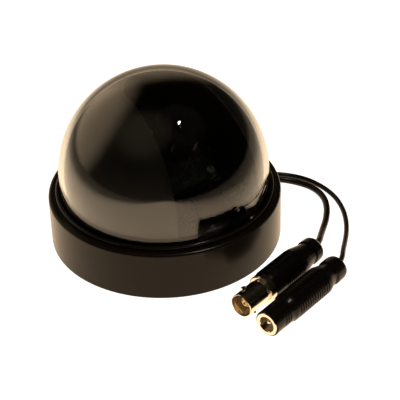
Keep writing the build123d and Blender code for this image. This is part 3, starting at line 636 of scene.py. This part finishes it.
# ---------------------------------------------------------------- rubber parts
# The grommet fills the base's window round the two leads, and the sealing ring and the dome's gasket
# keep damp out. All are matte black rubber with a dusty bloom.
rubber = Finish("black_rubber", Specular_IOR_Level=0.3, Sheen_Weight=0.15, Sheen_Roughness=0.4)
rubber_bloom = rubber.noise(4 * mm, 4.0)
rubber.feed(
    Base_Color=rubber.blend(rubber_bloom, (0.010, 0.010, 0.010), (0.030, 0.028, 0.026)),
    Roughness=rubber_bloom * 0.2 + 0.6,
    Normal=rubber.bump(rubber.noise(0.3 * mm, 3.0), 0.03 * mm, 0.5),
)
dress(rubber, "grommet", "cover_seal", "dome_gasket")


# ---------------------------------------------------------------- fasteners and clip
# Zinc-plated pan-head screws hold the clamp, the yoke, the boards and the pivots. A blued spring-steel
# clip in the post's groove keeps the turntable down.
zinc = Finish("zinc_plate", Metallic=1.0)
zinc_bloom = zinc.noise(1.2 * mm, 3.0)
zinc.feed(
    Base_Color=zinc.blend(zinc_bloom, (0.50, 0.48, 0.43), (0.70, 0.69, 0.64)),
    Roughness=zinc_bloom * 0.22 + 0.22,
    Normal=zinc.bump(zinc.noise(0.15 * mm), 0.008 * mm, 0.5),
)
dress(
    zinc, "clamp_screws", "yoke_screws", "tilt_screws", "board_screws", "mount_screws", "pan_lock_screw"
)

blued = Finish("blued_spring_steel", Metallic=1.0)
blued_streak = blued.noise(0.5 * mm, 4.0, (1, 8, 1))
blued.feed(
    Base_Color=blued.blend(blued_streak, (0.10, 0.11, 0.16), (0.28, 0.27, 0.30)),
    Roughness=blued_streak * 0.2 + 0.25,
    Normal=blued.bump(blued_streak, 0.006 * mm, 0.5),
)
dress(blued, "pan_clip")


# ---------------------------------------------------------------- wiring inside
# The leads meet a small white nylon junction, and one black sleeved bundle runs on to the post, up the
# pan axis and out along the tilt axis to the board's connector.
nylon = Finish("natural_nylon", Specular_IOR_Level=0.4, Subsurface_Weight=0.2, Subsurface_Scale=0.8 * mm)
nylon_cloud = nylon.noise(2 * mm, 3.0)
nylon.feed(
    Base_Color=nylon.blend(nylon_cloud, (0.70, 0.67, 0.58), (0.82, 0.80, 0.73)),
    Roughness=nylon_cloud * 0.15 + 0.4,
    Normal=nylon.bump(nylon.noise(0.3 * mm), 0.012 * mm, 0.5),
)
dress(nylon, "lead_junction", "board_connector", "dc_insulator")

braid = Finish("braided_sleeve", Specular_IOR_Level=0.3)
braid_cell = braid.cells(0.45 * mm)
braid.feed(
    Base_Color=braid.blend(braid_cell, (0.035, 0.034, 0.034), (0.008, 0.008, 0.008)),
    Roughness=braid_cell * 0.3 + 0.5,
    Normal=braid.bump(braid_cell, -0.08 * mm, 0.8),
)
dress(braid, "harness_base", "harness_pan", "harness_tilt")


# ---------------------------------------------------------------- turntable, yoke and cradle
# The turntable and the lens mount are glass-filled nylon mouldings. The yoke and the tilting cradle are
# pressed steel sheet with a black powder coat, which shows a slight orange peel.
filled = Finish("glass_filled_nylon", Specular_IOR_Level=0.35)
filled_fibre = filled.noise(0.4 * mm, 3.0, (1, 5, 1))
filled_cloud = filled.noise(9 * mm, 2.0)
filled.feed(
    Base_Color=filled.blend(filled_fibre, (0.012, 0.012, 0.012), (0.032, 0.031, 0.030)),
    Roughness=filled_cloud * 0.12 + filled_fibre * 0.1 + 0.42,
    Normal=filled.bump(filled_fibre, 0.012 * mm, 0.5),
)
dress(filled, "turntable", "lens_mount")

powder = Finish("powder_coat", Specular_IOR_Level=0.45, Coat_Roughness=0.25)
powder_peel = powder.noise(0.9 * mm, 1.5)
powder_dust = powder.noise(7 * mm, 4.0)
powder.feed(
    Base_Color=powder.blend(powder_dust, (0.014, 0.014, 0.014), (0.028, 0.027, 0.026)),
    Roughness=powder_dust * 0.12 + 0.36,
    Coat_Weight=powder_dust * 0.2 + 0.1,
    Normal=powder.bump(powder_peel, 0.05 * mm, 0.5),
)
dress(powder, "yoke", "tilt_cradle")


# ---------------------------------------------------------------- camera board
# A glass-epoxy board under green solder mask, on four turned brass standoffs, with black packages on
# both sides and the image sensor in the middle under its own cover glass.
brass = Finish("turned_brass", Metallic=1.0)
brass_lines = brass.noise(0.6 * mm, 4.0, (1, 1, 7))
brass.feed(
    Base_Color=brass.blend(brass_lines, (0.62, 0.44, 0.18), (0.80, 0.62, 0.32)),
    Roughness=brass_lines * 0.2 + 0.2,
    Normal=brass.bump(brass_lines, 0.006 * mm, 0.5),
)
dress(brass, "board_standoffs")

board = Finish("solder_mask", Specular_IOR_Level=0.5, Coat_Weight=0.3, Coat_Roughness=0.15)
board_tracks = board.cells(2.2 * mm, "DISTANCE_TO_EDGE").between(0.10, 0.04)
board_holes = board.cells(1.7 * mm) < 0.10
board_weave = board.noise(0.35 * mm, 2.0)
board_mask = board.blend(board_tracks, (0.004, 0.022, 0.010), (0.008, 0.045, 0.020))
board.feed(
    Base_Color=board.blend(board_holes, board_mask, (0.55, 0.52, 0.46)),
    Roughness=board_weave * 0.12 + 0.24,
    Metallic=board_holes * 0.9,
    Normal=board.bump(board_tracks, 0.03 * mm, 0.6),
)
dress(board, "camera_board")

package = Finish("black_packages", Specular_IOR_Level=0.4)
package_grain = package.noise(0.2 * mm, 3.0)
package.feed(
    Base_Color=package.blend(package_grain, (0.014, 0.014, 0.014), (0.035, 0.035, 0.034)),
    Roughness=package_grain * 0.2 + 0.45,
    Normal=package.bump(package_grain, 0.015 * mm, 0.5),
)
dress(package, "board_parts")

sensor = Finish("sensor_package", Specular_IOR_Level=0.6, Coat_Weight=0.8, Coat_Roughness=0.03)
sensor_cells = sensor.noise(0.25 * mm, 1.0, (1, 4, 1))
sensor.feed(
    Base_Color=sensor.blend(sensor_cells, (0.050, 0.045, 0.075), (0.10, 0.085, 0.13)),
    Roughness=sensor_cells * 0.15 + 0.2,
)
dress(sensor, "image_sensor")


# ---------------------------------------------------------------- lens
# A small threaded board lens of black anodised aluminium. A stepped bezel round the front glass keeps
# stray light off it. The lens turns in its mount to focus, and a knurled ring locks it.
head_line = Vector(joints["focus"]["axis"]).normalized()
head_place = Matrix.Translation((0, 0, pan_axis_height)) @ Matrix(
    ((1, 0, 0), head_line.cross(Vector((1, 0, 0))), head_line)
).transposed().to_4x4()

anodised = Finish("black_anodised", Metallic=0.6, Specular_IOR_Level=0.5)
anodised_lines = anodised.noise(0.5 * mm, 3.0, (1, 1, 4))
anodised.feed(
    Base_Color=anodised.blend(anodised_lines, (0.012, 0.012, 0.013), (0.030, 0.029, 0.030)),
    Roughness=anodised_lines * 0.12 + 0.16,
    Normal=anodised.bump(anodised_lines, 0.006 * mm, 0.5),
)
dress(anodised, "lens_barrel", "lens_rear_ring", "focus_lock_ring")

bezel_radius = 10.0
bezel_front = 31.0
bezel_back = 24.9
bezel_seat = 28.05
bezel_opening = 2.9
bezel_steps = 11
bezel_bore = 7.55
bezel_lip = bezel_seat + 0.4
ring_reach = bezel_radius - 0.7 - bezel_opening
ring_drop = (bezel_front - bezel_lip) / bezel_steps
bezel_outline = [
    (bezel_bore, bezel_back), (bezel_radius, bezel_back), (bezel_radius, bezel_front - 0.4),
    (bezel_radius - 0.4, bezel_front),
]
for step in range(bezel_steps):
    ring_radius = bezel_opening + ring_reach * (1 - step / bezel_steps)
    ring_height = bezel_front - ring_drop * step
    bezel_outline += [(ring_radius, ring_height), (ring_radius, ring_height - ring_drop)]
bezel_outline += [(bezel_opening, bezel_lip), (bezel_opening, bezel_seat), (bezel_bore, bezel_seat)]
lens_bezel = turned("lens_stepped_bezel", bezel_outline, head_place, edge=0.05, steps=128)
stands_for(lens_bezel, "lens_bezel", "focus", anodised)

lens_glass = Finish(
    "coated_glass", Transmission_Weight=1.0, IOR=1.62, Roughness=0.0, Coat_Weight=0.5, Coat_Roughness=0.0,
)
lens_glass.shader.inputs["Base Color"].default_value = (0.86, 0.88, 0.94, 1)
lens_glass.shader.inputs["Coat Tint"].default_value = (0.80, 0.75, 1.0, 1)
glass_radius = 3.15
glass_seat = 25.5
glass_top = 27.8
glass_curve = 5.6
glass_arc = 16
glass_turn = math.asin(glass_radius / glass_curve)
glass_outline = [(0, glass_seat), (glass_radius, glass_seat)]
for step in range(glass_arc + 1):
    turn = glass_turn * (1 - step / glass_arc)
    glass_outline.append((glass_curve * math.sin(turn), glass_top - glass_curve * (1 - math.cos(turn))))
glass_outline[-1] = (0, glass_top)
front_glass = turned("lens_front_element", glass_outline, head_place, steps=64)
stands_for(front_glass, "lens_front_glass", "focus", lens_glass)
dress(lens_glass, "lens_rear_glass")


# ---------------------------------------------------------------- liner
# A thin black hood under the dome that hides the works. It is one satin moulding with a sighting slot
# from over the top down one side, and two dogs on the turntable turn it with the lens.
satin = Finish("satin_liner", Specular_IOR_Level=0.5)
satin_cloud = satin.noise(11 * mm, 3.0)
satin_grain = satin.noise(0.35 * mm, 2.0)
satin.feed(
    Base_Color=satin.blend(satin_cloud, (0.016, 0.014, 0.011), (0.024, 0.021, 0.017)),
    Roughness=satin_cloud * 0.08 + satin_grain * 0.04 + 0.36,
    Normal=satin.bump(satin_grain, 0.012 * mm, 0.4),
)
dress(satin, "liner")


# ---------------------------------------------------------------- dome
# Clear polycarbonate, blown and polished, two millimetres thick, with a straight skirt and a flange that
# the retainer presses against the cover's gasket.
dome_low, dome_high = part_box("dome")
dome_centre = pan_axis_height / mm
dome_top = dome_high.z / mm
dome_radius = dome_top - dome_centre
dome_wall = 2.1
dome_bore = dome_radius - dome_wall
dome_flange = 1.6
dome_arc = 72

clear = Finish("clear_polycarbonate", Transmission_Weight=1.0, IOR=1.49)
clear.shader.inputs["Base Color"].default_value = (0.66, 0.69, 0.70, 1)
clear.feed(Roughness=clear.noise(9 * mm, 4.0).between(0.55, 0.9) * 0.02)
dome_rim = dome_high.x / mm
dome_foot = dome_low.z / mm
dome_fillet = 0.3
dome_outline = [
    (dome_rim, dome_foot), (dome_rim, dome_foot + dome_flange),
    (dome_radius + dome_fillet, dome_foot + dome_flange),
    (dome_radius, dome_foot + dome_flange + dome_fillet),
]
for step in range(dome_arc + 1):
    turn = math.pi / 2 * step / dome_arc
    dome_outline.append((dome_radius * math.cos(turn), dome_centre + dome_radius * math.sin(turn)))
dome_outline[-1] = (0, dome_top)
for step in range(dome_arc + 1):
    turn = math.pi / 2 * (1 - step / dome_arc)
    dome_outline.append((dome_bore * math.cos(turn), dome_centre + dome_bore * math.sin(turn)))
dome_outline[-dome_arc - 1] = (0, dome_top - dome_wall)
dome_outline.append((dome_bore, dome_foot))
dome = turned("dome_shell", dome_outline, Matrix.Identity(4), steps=256)
stands_for(dome, "dome", "cover", clear)


# ---------------------------------------------------------------- cover
# The black ABS cover that drops over the base and carries the dome. Its wall and top are spark-eroded
# to a satin grain, and the raised lip round the dome is polished.
cover_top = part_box("cover_shell")[1].z
lip_foot = cover_top - 1.8 * mm
lip_full = cover_top - 1.5 * mm
cover_black = Finish("cover_moulding", Specular_IOR_Level=0.15)
cover_up = cover_black.node("ShaderNodeSeparateXYZ", {}, {"Vector": cover_black.place()}, "Z")
cover_lip = cover_up.between(lip_foot, lip_full)
cover_grain = cover_black.noise(0.45 * mm, 2.0)
cover_cloud = cover_black.noise(16 * mm, 3.0)
cover_black.feed(
    Base_Color=cover_black.blend(cover_cloud, (0.0050, 0.0038, 0.0026), (0.0080, 0.0060, 0.0042)),
    Roughness=(cover_cloud * 0.05 + cover_grain * 0.04 + 0.19) * (1 - cover_lip * 0.4),
    Normal=cover_black.bump(cover_grain, 0.03 * mm, 0.35),
)
dress(cover_black, "cover_shell")
